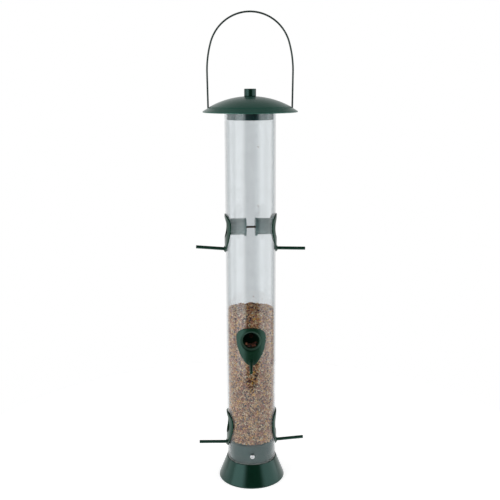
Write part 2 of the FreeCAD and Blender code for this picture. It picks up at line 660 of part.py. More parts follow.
# ---------------------------------------------------------------- seed
def seed_fill():
    """Seed that fills the tube round the lower and middle ports, as one plain solid."""
    column = cylinder("seed_column", "Sizes.seed_radius", "Sizes.seed_top - Sizes.spigot_top",
                      z="Sizes.spigot_top")
    hollows = []
    for level in ("middle", "lower"):
        angle = size(f"port_{level}_turn")
        height = f"Sizes.port_{level}_height"
        for half_turn in (0, 180):
            turn = along(angle + half_turn)
            side = Rotation(Vector(0, 0, 1), angle + half_turn).multVec(Vector(1, 0, 0))
            for part, radius, start in (("tunnel", "plate_radius", "Sizes.plate_inner - Sizes.seed_gap"),
                                        ("neck", "neck_radius", "Sizes.bore_seat - 1.2"),
                                        ("tie", "tie_radius", "0")):
                hollows.append(cylinder(
                    f"{part}_space_{level}_{half_turn}", f"Sizes.{radius} + Sizes.seed_gap", f"{FAR}",
                    turn, x=f"{side.x} * ({start})", y=f"{side.y} * ({start})", z=height))
                if part == "tie":
                    hollows[-1].setExpression("Height", "Sizes.tube_radius")
    keep("seed_fill", cut("seed_fill", column, *hollows))


def check_document():
    """Stop if any object failed or any node is not a sound shape."""
    for item in doc.Objects:
        if {"Invalid", "Error"} & set(item.State):
            raise RuntimeError(f"{item.Name}: {item.State}")
    for name, item in nodes.items():
        if item.Shape.isNull() or not item.Shape.isValid() or item.Shape.Volume <= 0:
            raise RuntimeError(f"{name}: bad shape")


feed_tube()
base_foot()
base_screws()
ports_and_perches()
ties()
lid_dome()
lid_plug()
lid_knob()
knob_fastening()
bail_wire()
seed_fill()
doc.recompute()
check_document()

os.makedirs("parts", exist_ok=True)
for name, item in nodes.items():
    item.Shape.exportStep(f"parts/{name}.step")
    extent = item.Shape.BoundBox
    print(f"{name}: {len(item.Shape.Solids)} solid(s), {item.Shape.Volume / 1000:.2f} cm3, "
          f"x {extent.XMin:.1f}..{extent.XMax:.1f}, y {extent.YMin:.1f}..{extent.YMax:.1f}, "
          f"z {extent.ZMin:.1f}..{extent.ZMax:.1f}")
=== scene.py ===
# %% [markdown]
# # A hanging tube feeder for birds
# The feeder is a clear plastic tube full of seed. Six green ports with perches are tied across it in
# pairs, a flared foot plugs its lower end, and a domed lid slides up the legs of a wire bail.
# The sizes and places come from the engineering model, which is loaded first. Every new piece is a
# surface worked out with numpy in that same frame, in metres, so nothing has to be fitted afterwards.

import math

import bmesh
import bpy
import numpy as np
from mathutils import Matrix, Vector


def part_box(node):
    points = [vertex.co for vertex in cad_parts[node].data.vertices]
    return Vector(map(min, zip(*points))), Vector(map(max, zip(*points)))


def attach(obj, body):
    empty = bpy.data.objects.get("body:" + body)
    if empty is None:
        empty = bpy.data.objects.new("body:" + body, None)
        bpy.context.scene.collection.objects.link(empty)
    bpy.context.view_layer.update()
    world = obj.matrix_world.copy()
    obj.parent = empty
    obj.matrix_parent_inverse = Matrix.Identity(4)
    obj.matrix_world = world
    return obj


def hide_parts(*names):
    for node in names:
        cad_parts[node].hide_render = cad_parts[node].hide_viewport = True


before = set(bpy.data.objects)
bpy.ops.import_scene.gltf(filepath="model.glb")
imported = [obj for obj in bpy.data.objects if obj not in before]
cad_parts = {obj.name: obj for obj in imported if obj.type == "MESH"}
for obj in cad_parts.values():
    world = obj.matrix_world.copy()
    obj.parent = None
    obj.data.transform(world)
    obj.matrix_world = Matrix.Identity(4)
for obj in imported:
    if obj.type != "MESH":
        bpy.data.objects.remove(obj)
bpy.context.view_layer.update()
MM = 0.001

# %% [markdown]
# ## The camera
# A product picture of something tall is taken from a little above, with a longish lens. The camera
# stands almost a metre in front of the feeder, at about the height of its lid, and looks down 12
# degrees. It is made first, so that every later piece can be looked at straight away.

# %% Camera
CAMERA_PLACE = Vector((-0.0009, -0.9415, 0.4915))
CAMERA_PITCH = math.radians(90 - 11.95)
CAMERA_ROLL = math.radians(-0.25)

camera_data = bpy.data.cameras.new("camera")
camera_data.sensor_width = 36
camera_data.lens = 57.46
camera = bpy.data.objects.new("camera", camera_data)
bpy.context.scene.collection.objects.link(camera)
turn = Matrix.Rotation(CAMERA_PITCH, 4, "X") @ Matrix.Rotation(CAMERA_ROLL, 4, "Z")
camera.matrix_world = Matrix.Translation(CAMERA_PLACE) @ turn
bpy.context.scene.camera = camera
print("camera looks along", [round(v, 3) for v in turn.to_3x3() @ Vector((0, 0, -1))])

# %% [markdown]
# ## Light
# Glossy plastic and clear tube are drawn by what they reflect. Tall soft boxes stand to the left
# and right of the camera, with a dark gap between them: that gap is the dark stripe down the middle
# of the tube and the foot. Each side has a bright panel and a weaker one beyond it, and three narrow
# panels step its brightness down towards the gap, so that the stripe has soft edges. A panel is an
# area light that spans from one angle to another about the feeder, and its power follows from the
# brightness wanted and its area. A weak fill light stands above the camera; it lights dull
# surfaces such as the seed, and is kept out of the reflections.

# %% Soft boxes
def softbox(name, start, end, radiance, distance=1.1, low=-0.35, high=1.15):
    """Upright area light between two angles about the feeder (0 is the camera, positive to the right).

    Its width is twice the distance times the tangent of half the angle it spans, and its power is
    pi times radiance times area.
    """
    middle, half = math.radians((start + end) / 2), math.radians(abs(end - start) / 2)
    data = bpy.data.lights.new(name, "AREA")
    data.shape = "RECTANGLE"
    data.size, data.size_y = 2 * distance * math.tan(half), high - low
    data.energy = math.pi * radiance * data.size * data.size_y
    lamp = bpy.data.objects.new(name, data)
    lamp.visible_camera = False
    lamp.location = (distance * math.sin(middle), -distance * math.cos(middle), (low + high) / 2)
    lamp.rotation_euler = (math.radians(90), 0, middle)
    bpy.context.scene.collection.objects.link(lamp)
    print(f"{name}: {data.size:.2f} m wide, {data.energy:.1f} W")
    return lamp


LEFT_RADIANCE, RIGHT_RADIANCE = 2.1, 1.55
softbox("softbox_left", -33, -72, LEFT_RADIANCE)
softbox("softbox_far_left", -72, -110, 1.0)
softbox("softbox_right", 47, 76, RIGHT_RADIANCE)
softbox("softbox_far_right", 76, 112, 1.55)
for step, share in enumerate((0.25, 0.5, 0.75)):
    softbox(f"left_edge_{step}", -21 - 4 * step, -25 - 4 * step, LEFT_RADIANCE * share)
    softbox(f"right_edge_{step}", 35 + 4 * step, 39 + 4 * step, RIGHT_RADIANCE * share)
fill = softbox("front_fill", -9, 9, 2.4, low=0.5, high=1.6)
fill.visible_glossy = False

# %% [markdown]
# The world is the rest of the studio: dark around the camera, a white backdrop behind, and dimmer
# overhead and to the right. To the camera itself it shows plain white, as a lit backdrop does.

# %% World
world = bpy.data.worlds.new("studio")
bpy.context.scene.world = world
world.use_nodes = True
tree = world.node_tree
tree.nodes.clear()
direction = tree.nodes.new("ShaderNodeTexCoord")
split = tree.nodes.new("ShaderNodeSeparateXYZ")
tree.links.new(direction.outputs["Generated"], split.inputs[0])


def world_range(value, low, high, out_low, out_high):
    """Smooth step of a world value from one level to another."""
    node = tree.nodes.new("ShaderNodeMapRange")
    node.interpolation_type = "SMOOTHSTEP"
    for socket, number in zip(("From Min", "From Max", "To Min", "To Max"), (low, high, out_low, out_high)):
        node.inputs[socket].default_value = number
    tree.links.new(value, node.inputs["Value"])
    return node.outputs[0]


strength = world_range(split.outputs["Y"], -0.35, 1.0, 0.04, 1.1)
for part in (world_range(split.outputs["Z"], 0.05, 0.85, 1.0, 0.30),
             world_range(split.outputs["X"], -0.4, 0.4, 1.0, 0.75)):
    product = tree.nodes.new("ShaderNodeMath")
    product.operation = "MULTIPLY"
    tree.links.new(strength, product.inputs[0])
    tree.links.new(part, product.inputs[1])
    strength = product.outputs[0]
studio = tree.nodes.new("ShaderNodeBackground")
studio.inputs["Color"].default_value = (1, 1, 1, 1)
tree.links.new(strength, studio.inputs["Strength"])
white = tree.nodes.new("ShaderNodeBackground")
white.inputs["Color"].default_value = (1, 1, 1, 1)
seen = tree.nodes.new("ShaderNodeLightPath")
either = tree.nodes.new("ShaderNodeMixShader")
tree.links.new(seen.outputs["Is Camera Ray"], either.inputs[0])
tree.links.new(studio.outputs[0], either.inputs[1])
tree.links.new(white.outputs[0], either.inputs[2])
out = tree.nodes.new("ShaderNodeOutputWorld")
tree.links.new(either.outputs[0], out.inputs[0])
bpy.context.scene.view_settings.view_transform = "Standard"

# %% [markdown]
# ## Building surfaces
# Every piece below is a grid of points, worked out as one numpy array, and joined into quads. One
# helper turns a grid into a mesh, closes its seam and its poles by merging points that coincide,
# and turns the faces outwards. Another gives the finished mesh its finish and its body.

# %% Grids into meshes
def grid_faces(rows, columns):
    """Quads between neighbouring rows of a grid whose columns run round and close."""
    row = np.arange(rows - 1)[:, None] * columns
    column = np.arange(columns)[None, :]
    after = (column + 1) % columns
    corners = [row + column, row + after, row + columns + after, row + columns + column]
    return np.stack(corners, -1).reshape(-1, 4)


def make_mesh(name, points, faces, sharp=35):
    """Mesh from points in millimetres: merges doubles, faces outwards, smooth below the sharp angle."""
    mesh = bpy.data.meshes.new(name)
    mesh.from_pydata((np.asarray(points).reshape(-1, 3) * MM).tolist(), [], np.asarray(faces).tolist())
    work = bmesh.new()
    work.from_mesh(mesh)
    bmesh.ops.remove_doubles(work, verts=work.verts, dist=2e-6)
    bmesh.ops.recalc_face_normals(work, faces=work.faces)
    work.to_mesh(mesh)
    work.free()
    mesh.shade_smooth()
    mesh.set_sharp_from_angle(angle=math.radians(sharp))
    return mesh


def piece(name, mesh, material, body="feeder", replaces=()):
    """Object for a finished mesh: its finish, the body it rides on and the nodes it stands for."""
    item = bpy.data.objects.new(name, mesh)
    bpy.context.scene.collection.objects.link(item)
    mesh.materials.clear()
    mesh.materials.append(material)
    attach(item, body)
    if replaces:
        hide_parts(*replaces)
    triangles = sum(len(p.vertices) - 2 for p in mesh.polygons)
    print(f"{name}: {triangles} triangles")
    return item


# %% Profiles
def rounded(corners, radii, steps=6):
    """Closed outline with each corner replaced by a parabola that leaves both sides at the radius."""
    corners = np.asarray(corners, float)
    radii = np.broadcast_to(np.asarray(radii, float), (len(corners),))
    before, after = np.roll(corners, 1, 0), np.roll(corners, -1, 0)
    reach_in = np.minimum(radii, 0.45 * np.linalg.norm(before - corners, axis=1))
    reach_out = np.minimum(radii, 0.45 * np.linalg.norm(after - corners, axis=1))
    way_in = (before - corners) / np.linalg.norm(before - corners, axis=1)[:, None]
    way_out = (after - corners) / np.linalg.norm(after - corners, axis=1)[:, None]
    start = corners + way_in * reach_in[:, None]
    end = corners + way_out * reach_out[:, None]
    t = np.linspace(0, 1, steps)[None, :, None]
    curve = (1 - t) ** 2 * start[:, None] + 2 * t * (1 - t) * corners[:, None] + t ** 2 * end[:, None]
    flat = curve.reshape(-1, 2)
    keep = np.linalg.norm(flat - np.roll(flat, 1, 0), axis=1) > 1e-6
    return flat[keep]


def turned(outline, steps=192):
    """Closed (radius, height) outline carried round the Z axis, as points and faces."""
    loop = np.vstack([outline, outline[:1]])
    angle = np.linspace(0, 2 * np.pi, steps, endpoint=False)
    points = np.stack([
        loop[:, :1] * np.cos(angle),
        loop[:, :1] * np.sin(angle),
        np.repeat(loop[:, 1:], steps, 1),
    ], -1)
    return points, grid_faces(len(loop), steps)


def swept(path, radius, steps=24):
    """Round wire along a path that lies in a plane of constant y, closed by a flat face at each end.

    The section stands square to the path: one of its axes is Y, the other is Y crossed with the
    path's direction.
    """
    direction = np.gradient(path, axis=0)
    direction /= np.linalg.norm(direction, axis=1)[:, None]
    side = np.array([0.0, 1.0, 0.0])
    up = np.cross(side, direction)
    angle = np.linspace(0, 2 * np.pi, steps, endpoint=False)[None, :, None]
    ring = np.cos(angle) * side[None, None] + np.sin(angle) * up[:, None]
    wall = path[:, None] + radius * ring
    ends = [np.broadcast_to(point, (1, steps, 3)) for point in (path[0], path[-1])]
    return np.concatenate([ends[0], wall, ends[1]]), grid_faces(len(path) + 2, steps)


# %% [markdown]
# ## What the engineering model says
# The radius of the tube, the height and the angle of each port and the line of each perch are read
# from the nodes. A rod's own line is the direction in which its points spread most, which a
# singular value decomposition gives.

# %% Read the places
def node_points(name):
    """Points of a node in millimetres."""
    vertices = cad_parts[name].data.vertices
    flat = np.empty(len(vertices) * 3)
    vertices.foreach_get("co", flat)
    return flat.reshape(-1, 3) / MM


def rod_line(name):
    """Inner end, outer end and radius of a round rod that points away from the tube."""
    points = node_points(name)
    middle = (points.min(0) + points.max(0)) / 2
    along = np.linalg.svd(points - points.mean(0), full_matrices=False)[2][0]
    along *= np.sign(along @ (middle * (1, 1, 0)))
    reach = (points - middle) @ along
    off_line = (points - middle) - reach[:, None] * along
    radius = np.linalg.norm(off_line, axis=1).max()
    return middle + along * reach.min(), middle + along * reach.max(), radius


ENDS = ("upper_left", "upper_right", "middle_front", "middle_back", "lower_left", "lower_right")
SHIELD_TOP = 16.4       # top of a port's shield above its hole
perch_lines = {end: rod_line(f"perch_{end}") for end in ENDS}
port_turn = {end: math.atan2(line[1][1], line[1][0]) for end, line in perch_lines.items()}
port_height = {end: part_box(f"port_{end}")[1].z / MM - SHIELD_TOP for end in ENDS}
tube_low, tube_high = (np.array(corner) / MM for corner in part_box("feed_tube"))
TUBE_RADIUS = tube_high[1]
TUBE_WALL = 1.5
for end in ENDS:
    print(end, "height", round(port_height[end], 2), "turn", round(math.degrees(port_turn[end]), 2))

# %% [markdown]
# ## Finishes
# Each finish is a small node tree on the Principled shader. Patterns read Object coordinates, so
# they stay on the piece. A value that is the same all over is set on the shader's own socket.

# %% Node helpers
def new_finish(name):
    """Empty node material with an output and Object coordinates: returns it, its nodes and a linker."""
    material = bpy.data.materials.new(name)
    material.use_nodes = True
    material.node_tree.nodes.clear()
    return material, material.node_tree.nodes, material.node_tree.links.new


def show(nodes, link, shader):
    """Make a shader the surface of its material."""
    link(shader.outputs[0], nodes.new("ShaderNodeOutputMaterial").inputs["Surface"])


def total(nodes, link, one, other, clamp=False):
    """Sum of two values, held between 0 and 1 if clamp is set."""
    node = nodes.new("ShaderNodeMath")
    node.operation = "ADD"
    node.use_clamp = clamp
    link(one, node.inputs[0])
    link(other, node.inputs[1])
    return node.outputs[0]


def noise(nodes, link, place, scale, detail=3.0, roughness=0.55):
    """Cloudy pattern from 0 to 1."""
    texture = nodes.new("ShaderNodeTexNoise")
    texture.inputs["Scale"].default_value = scale
    texture.inputs["Detail"].default_value = detail
    texture.inputs["Roughness"].default_value = roughness
    link(place, texture.inputs["Vector"])
    return texture.outputs["Fac"]


def between(nodes, link, value, low, high, out_low, out_high):
    """Value carried from one range to another, held at both ends."""
    node = nodes.new("ShaderNodeMapRange")
    node.inputs["From Min"].default_value = low
    node.inputs["From Max"].default_value = high
    node.inputs["To Min"].default_value = out_low
    node.inputs["To Max"].default_value = out_high
    link(value, node.inputs["Value"])
    return node.outputs[0]


def ramp(nodes, link, value, stops):
    """Colour ramp through (place, colour) stops."""
    node = nodes.new("ShaderNodeValToRGB")
    elements = node.color_ramp.elements
    while len(elements) < len(stops):
        elements.new(0.5)
    for element, (spot, colour) in zip(elements, stops):
        element.position = spot
        element.color = (*colour, 1)
    link(value, node.inputs["Fac"])
    return node.outputs["Color"]


def bump(nodes, link, height, distance):
    """Normal of a surface that a pattern raises by up to a distance in metres."""
    node = nodes.new("ShaderNodeBump")
    node.inputs["Distance"].default_value = distance
    link(height, node.inputs["Height"])
    return node.outputs["Normal"]


# %% [markdown]
# ### Green mouldings and coated rods
# The mouldings are a deep green plastic with a slight cloudiness and a fine grain that breaks the
# reflections up a little. The faces seen through the clear tube get lighter copies of the green, with
# light painted into their colour, and so does the floor of each sunk mouth, as a painted highlight.
# The rods and the wire carry a coat of the same green.

# %% Green finishes
def green_finish(name, deep, pale, rough, grain, cloud_scale=45, gloss=(0.50, 0.93, 0.88), ior=1.53):
    """Green coat: colour between two greens, roughness about a middle value, and a fine grain.

    The pigment lies so near the surface that even the gloss is green, which the specular tint gives.
    """
    material, nodes, link = new_finish(name)
    place = nodes.new("ShaderNodeTexCoord").outputs["Object"]
    shader = nodes.new("ShaderNodeBsdfPrincipled")
    cloud = noise(nodes, link, place, cloud_scale)
    link(ramp(nodes, link, cloud, [(0.3, deep), (0.7, pale)]), shader.inputs["Base Color"])
    fine = noise(nodes, link, place, 900, 2.0)
    link(between(nodes, link, fine, 0.3, 0.7, rough - 0.04, rough + 0.04), shader.inputs["Roughness"])
    link(bump(nodes, link, fine, grain), shader.inputs["Normal"])
    shader.inputs["IOR"].default_value = ior
    shader.inputs["Specular Tint"].default_value = (*gloss, 1)
    show(nodes, link, shader)
    return material


moulded_green = green_finish("moulded_green", (0.0018, 0.014, 0.007), (0.0026, 0.019, 0.010), 0.20, 2e-6)
port_green = green_finish("port_green", (0.0034, 0.019, 0.009), (0.0046, 0.025, 0.012), 0.24, 2e-6,
                          gloss=(0.50, 0.93, 0.82), ior=1.50)
# The mouth floor gets a lighter copy of the port green: a painted highlight of the lit ring round the hole.
mouth_painted_highlight = green_finish("mouth_painted_highlight", (0.020, 0.046, 0.030), (0.028, 0.056, 0.038), 0.40, 2e-6, ior=1.45)
# Lighter copies of the same green for faces seen through the clear tube: painted light and sheen, not a
# different plastic.
inside_painted_light = green_finish("inside_painted_light", (0.130, 0.215, 0.210), (0.155, 0.245, 0.240), 0.40, 2e-6,
                            gloss=(0.85, 1.0, 1.0), ior=1.85)
plug_painted_light = green_finish("plug_painted_light", (0.0090, 0.044, 0.042), (0.0120, 0.054, 0.052), 0.22, 2e-6,
                          gloss=(0.74, 0.97, 1.0), ior=1.85)
spigot_painted_light = green_finish("spigot_painted_light", (0.0024, 0.038, 0.035), (0.0036, 0.047, 0.044), 0.22, 2e-6,
                            ior=1.47)
lid_green = green_finish("lid_green", (0.0210, 0.086, 0.062), (0.0270, 0.102, 0.076), 0.30, 3e-6,
                         gloss=(0.62, 0.95, 0.90))
coated_rod = green_finish("coated_rod", (0.0030, 0.021, 0.010), (0.0045, 0.028, 0.014), 0.36, 4e-6, 300)
coated_wire = green_finish("coated_wire", (0.012, 0.024, 0.020), (0.020, 0.034, 0.029), 0.42, 5e-6, 300,
                           (0.8, 0.95, 0.92))


# %% [markdown]
# ### Clear plastic
# A ray that meets the tube either goes straight on, losing a little light, or is mirrored. The
# share that is mirrored grows towards grazing angles. That is a thin-walled clear plastic, and it
# lets lamps light the seed inside, which a refracting glass would not. The sawn ends of the tube
# are frosted, and a faint film of dust clings to the inside.

# %% Clear tube finish
def clear_finish(name, tint, frost_low, frost_high):
    """Thin clear plastic whose ends below and above two heights, in metres, are frosted."""
    material, nodes, link = new_finish(name)
    place = nodes.new("ShaderNodeTexCoord").outputs["Object"]
    through = nodes.new("ShaderNodeBsdfTransparent")
    through.inputs["Color"].default_value = (*tint, 1)
    mirror = nodes.new("ShaderNodeBsdfGlossy")
    mirror.inputs["Roughness"].default_value = 0.08
    weight = nodes.new("ShaderNodeLayerWeight")
    weight.inputs["Blend"].default_value = 0.5
    power = nodes.new("ShaderNodeMath")
    power.operation = "POWER"
    power.inputs[1].default_value = 4.0
    link(weight.outputs["Facing"], power.inputs[0])
    share = between(nodes, link, power.outputs[0], 0.0, 1.0, 0.055, 0.9)
    clear = nodes.new("ShaderNodeMixShader")
    link(share, clear.inputs[0])
    link(through.outputs[0], clear.inputs[1])
    link(mirror.outputs[0], clear.inputs[2])
    dust = nodes.new("ShaderNodeBsdfDiffuse")
    dust.inputs["Color"].default_value = (0.62, 0.64, 0.62, 1)
    height = nodes.new("ShaderNodeSeparateXYZ")
    link(place, height.inputs[0])
    low = between(nodes, link, height.outputs["Z"], frost_low, frost_low + 0.0006, 0.55, 0.0)
    high = between(nodes, link, height.outputs["Z"], frost_high - 0.0006, frost_high, 0.0, 0.55)
    film = between(nodes, link, noise(nodes, link, place, 60, 5.0), 0.45, 0.8, 0.0, 0.03)
    cover = total(nodes, link, total(nodes, link, low, high), film)
    whole = nodes.new("ShaderNodeMixShader")
    link(cover, whole.inputs[0])
    link(clear.outputs[0], whole.inputs[1])
    link(dust.outputs[0], whole.inputs[2])
    show(nodes, link, whole)
    return material


clear_tube = clear_finish("clear_tube", (0.891, 0.905, 0.912), tube_low[2] * MM, tube_high[2] * MM)

# %% [markdown]
# ### Metals
# The base screws are bright zinc, the long tie screws a dulled bronze.

# %% Metal finishes
def metal_finish(name, dull, bright, rough):
    """Metal whose colour and roughness drift between two values over a fine noise."""
    material, nodes, link = new_finish(name)
    place = nodes.new("ShaderNodeTexCoord").outputs["Object"]
    shader = nodes.new("ShaderNodeBsdfPrincipled")
    shader.inputs["Metallic"].default_value = 1.0
    stain = noise(nodes, link, place, 700)
    link(ramp(nodes, link, stain, [(0.35, dull), (0.65, bright)]), shader.inputs["Base Color"])
    link(between(nodes, link, stain, 0.3, 0.7, rough + 0.1, rough - 0.05), shader.inputs["Roughness"])
    link(bump(nodes, link, noise(nodes, link, place, 2500), 3e-6), shader.inputs["Normal"])
    show(nodes, link, shader)
    return material


bright_zinc = metal_finish("bright_zinc", (0.55, 0.56, 0.57), (0.80, 0.81, 0.82), 0.25)
dull_bronze = metal_finish("dull_bronze", (0.06, 0.035, 0.022), (0.16, 0.10, 0.065), 0.40)

# %% [markdown]
# ## The clear tube
# The tube keeps the engineering model's own mesh, because its round holes have to meet the ports
# exactly. A coarse mesh of a cylinder mirrors the soft boxes in facets, so the copy gets the true
# normal of a cylinder at every corner of its wall: straight out from the axis.

# %% Clear tube
def true_cylinder(mesh):
    """Merge the loose triangles and point the wall's normals straight out from, or in to, the axis."""
    work = bmesh.new()
    work.from_mesh(mesh)
    bmesh.ops.remove_doubles(work, verts=work.verts, dist=1e-7)
    work.to_mesh(mesh)
    work.free()
    count = len(mesh.loops)
    corner = np.empty(count, int)
    mesh.loops.foreach_get("vertex_index", corner)
    place = np.empty(len(mesh.vertices) * 3)
    mesh.vertices.foreach_get("co", place)
    place = place.reshape(-1, 3)[corner]
    face_normal = np.empty(len(mesh.polygons) * 3)
    mesh.polygons.foreach_get("normal", face_normal)
    sides = np.empty(len(mesh.polygons), int)
    mesh.polygons.foreach_get("loop_total", sides)
    normal = np.repeat(face_normal.reshape(-1, 3), sides, axis=0)
    outward = place * (1, 1, 0)
    outward /= np.linalg.norm(outward, axis=1)[:, None]
    facing = (normal * outward).sum(1)
    on_wall = np.abs(facing) > 0.96
    normal[on_wall] = outward[on_wall] * np.sign(facing[on_wall])[:, None]
    mesh.normals_split_custom_set(normal.tolist())
    return on_wall.mean()


tube_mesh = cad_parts["feed_tube"].data.copy()
share = true_cylinder(tube_mesh)
print("corners on the wall:", round(share, 2))
piece("clear_tube", tube_mesh, clear_tube, replaces=["feed_tube"])

# %% [markdown]
# ## The foot
# One moulding: a flared skirt, a ledge under the tube and a spigot inside it. It is turned, so an
# outline carried round the axis gives it whole. The corners are rounded as a mould leaves them.

# %% Foot
foot_high = np.array(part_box("base_foot")[1]) / MM
FOOT_RADIUS, FLOOR = foot_high[0], foot_high[2]
LEDGE = tube_low[2]
foot_outline = rounded([
    (FOOT_RADIUS - 2.2, 0), (FOOT_RADIUS - 0.4, 0), (FOOT_RADIUS, 0.5), (FOOT_RADIUS, 1.5),
    (31.0, LEDGE), (28.35, LEDGE), (28.35, FLOOR - 3), (25.35, FLOOR), (0, FLOOR),
    (0, FLOOR - 2), (24.5, FLOOR - 2), (26.35, FLOOR - 3.8), (26.35, LEDGE - 2.2), (29.2, LEDGE - 2.2),
], [0.3, 0.3, 0.3, 0.6, 0.5, 0.2, 0.5, 0.5, 0, 0, 0.4, 0.4, 0.6, 0.5])
foot = piece("foot", make_mesh("foot", *turned(foot_outline)), moulded_green,
             replaces=["base_foot"])


def further_finish(mesh, material, chosen):
    """Give a further material to the faces whose centres, in millimetres, pass the test."""
    centres = np.empty(len(mesh.polygons) * 3)
    mesh.polygons.foreach_get("center", centres)
    index = np.empty(len(mesh.polygons), int)
    mesh.polygons.foreach_get("material_index", index)
    picked = chosen(centres.reshape(-1, 3) / MM)
    mesh.materials.append(material)
    index[picked] = len(mesh.materials) - 1
    mesh.polygons.foreach_set("material_index", index)
    print(mesh.name, "faces in", material.name, int(picked.sum()))


# The spigot inside the tube gets a lighter copy of the foot's green: painted light seen through the clear
# wall.
further_finish(foot.data, spigot_painted_light, lambda p: (np.hypot(p[:, 0], p[:, 1]) < 28.6) & (p[:, 2] > LEDGE))

# %% [markdown]
# ## The ports
# A port is one moulding: an egg-shaped shield bent to the tube, a round mouth sunk into it with a
# shallow floor and the seed hole, and a tunnel that runs to an end plate. Seen along the tunnel it
# is a family of rings about one centre, so it is made as a polar grid: the angle goes round the
# hole, and the second parameter follows the section from the end plate out of the tunnel, over the
# shield and back behind it.

# %% Outline of the shield
def egg_radius(angle):
    """Distance from the hole's centre to the shield's edge, at an angle in its face.

    The edge is made of arcs, each tangent to the next: a flat one on top (radius 30), a shoulder
    (11), a long side (50) and a small one below (9).
    """
    top, low, half = SHIELD_TOP, -30.4, 18.0
    lean = math.asin((half - 11) / (30 - 11))
    shoulder = np.array([19 * math.sin(lean), top - 30 + 19 * math.cos(lean)])
    heel = np.array([0.0, low + 9])
    to_heel = heel - shoulder
    gap = np.linalg.norm(to_heel)
    across = math.acos((39 ** 2 + gap ** 2 - 41 ** 2) / (2 * 39 * gap))
    way = math.atan2(to_heel[1], to_heel[0]) - across
    side = shoulder + 39 * np.array([math.cos(way), math.sin(way)])
    turn_side = math.atan2(*(shoulder - side)[::-1])
    turn_low = math.atan2(*(heel - side)[::-1])

    def arc(centre, radius, start, end):
        a = np.linspace(start, end, 40)
        return np.stack([centre[0] + radius * np.cos(a), centre[1] + radius * np.sin(a)], -1)

    half_outline = np.vstack([
        arc((0, top - 30), 30, np.pi / 2, np.pi / 2 - lean),
        arc(shoulder, 11, np.pi / 2 - lean, turn_side),
        arc(side, 50, turn_side, turn_low),
        arc(heel, 9, turn_low, -np.pi / 2),
    ])
    whole = np.vstack([half_outline, half_outline[::-1] * (-1, 1)])
    bearing = np.arctan2(whole[:, 1], whole[:, 0])
    order = np.argsort(bearing)
    return np.interp(angle, bearing[order], np.linalg.norm(whole, axis=1)[order], period=2 * np.pi)


# %% Polar grid of a port
SHIELD_INNER, SHIELD_OUTER = 30.05, 31.4
PLATE_INNER, PLATE_OUTER = 5.4, 7.9
MOUTH_FLOOR = 28.3


def port_grid(steps=144):
    """Port on the X axis at height 0, as a closed polar grid.

    A flat ring has one distance x along the axis and one radius. A bent ring lies on a cylinder of
    radius R about Z: its y and z come from the ring, and x is the root of R squared less y squared.
    """
    angle = np.linspace(-np.pi, np.pi, steps, endpoint=False)
    edge = egg_radius(angle)
    wave = np.stack([np.cos(angle), np.sin(angle)], -1)

    def flat(x, radius):
        return np.column_stack([np.full(steps, x), wave * radius])

    def bent(shell, radius):
        y, z = (wave * np.broadcast_to(radius, (steps,))[:, None]).T
        return np.column_stack([np.sqrt(shell ** 2 - y ** 2), y, z])

    rings = [flat(PLATE_OUTER, r) for r in (1.45, 4, 7, 9.0)]
    rings += [flat(x, 9.3) for x in np.linspace(PLATE_OUTER + 0.3, 23.5, 12)]
    rings += [flat(25, 9.6), flat(26.5, 10.0), flat(27.6, 10.1), flat(MOUTH_FLOOR - 0.3, 10.25)]
    rings += [flat(MOUTH_FLOOR - 0.15, 11.1), flat(MOUTH_FLOOR, 12.1), flat(MOUTH_FLOOR + 0.12, 12.35)]
    lip = np.linspace(0, np.pi / 2, 7)
    rings += [bent(SHIELD_OUTER - 0.35 * (1 - math.sin(a)), 12.45 + 0.35 * (1 - math.cos(a))) for a in lip]
    rings += [bent(SHIELD_OUTER, 12.8 + (edge - 0.8 - 12.8) * s) for s in np.linspace(0.15, 1, 9)]
    back = SHIELD_INNER + 0.25
    rings += [bent(back + (SHIELD_OUTER - back) * math.cos(a), edge - 0.8 * (1 - math.sin(a)))
              for a in lip[1:]]
    rings += [bent(SHIELD_INNER, edge - 0.15)]
    rings += [bent(SHIELD_INNER, 13.8 + (edge - 0.15 - 13.8) * s) for s in (0.66, 0.33, 0.0)]
    rings += [flat(27.3, 13.8), flat(26.9, 13.5), flat(25.7, 10.7)]
    rings += [flat(x, 10.5) for x in np.linspace(25.3, PLATE_OUTER + 0.25, 12)]
    rings += [flat(PLATE_OUTER, 10.6), flat(PLATE_OUTER, 10.75), flat(7.7, 10.85)]
    rings += [flat(5.6, 10.85), flat(PLATE_INNER, 10.65), flat(PLATE_INNER, 7), flat(PLATE_INNER, 1.45)]
    rings += [rings[0]]
    grid = np.stack(rings)
    return grid, grid_faces(len(rings), steps)


grid, faces = port_grid()
print("port grid:", grid.shape)


# %% [markdown]
# The tunnel is open underneath, so that seed can rise into it. A box is taken away from the closed
# grid with a Boolean modifier, which is then applied. The small boss round the perch is a turned
# piece of its own, sunk into the shield and joined to it.

# %% Port with its open tunnel and its boss
def subtract(mesh, low, high):
    """Take boxes away from a closed mesh. low and high list the boxes' corners in millimetres."""
    item = bpy.data.objects.new("work", mesh)
    bpy.context.scene.collection.objects.link(item)
    cutters = []
    for corner_low, corner_high in zip(low, high):
        work = bmesh.new()
        bmesh.ops.create_cube(work, size=1)
        corner_low, corner_high = np.array(corner_low) * MM, np.array(corner_high) * MM
        for vertex in work.verts:
            vertex.co = (corner_low + corner_high) / 2 + np.array(vertex.co) * (corner_high - corner_low)
        block = bpy.data.meshes.new("cutter")
        work.to_mesh(block)
        work.free()
        cutter = bpy.data.objects.new("cutter", block)
        bpy.context.scene.collection.objects.link(cutter)
        cutters.append(cutter)
        boolean = item.modifiers.new("cut", "BOOLEAN")
        boolean.operation = "DIFFERENCE"
        boolean.solver = "EXACT"
        boolean.object = cutter
    shape = item.evaluated_get(bpy.context.evaluated_depsgraph_get())
    done = bpy.data.meshes.new_from_object(shape)
    for extra in [item, *cutters]:
        bpy.data.objects.remove(extra)
    done.shade_smooth()
    done.set_sharp_from_angle(angle=math.radians(35))
    return done


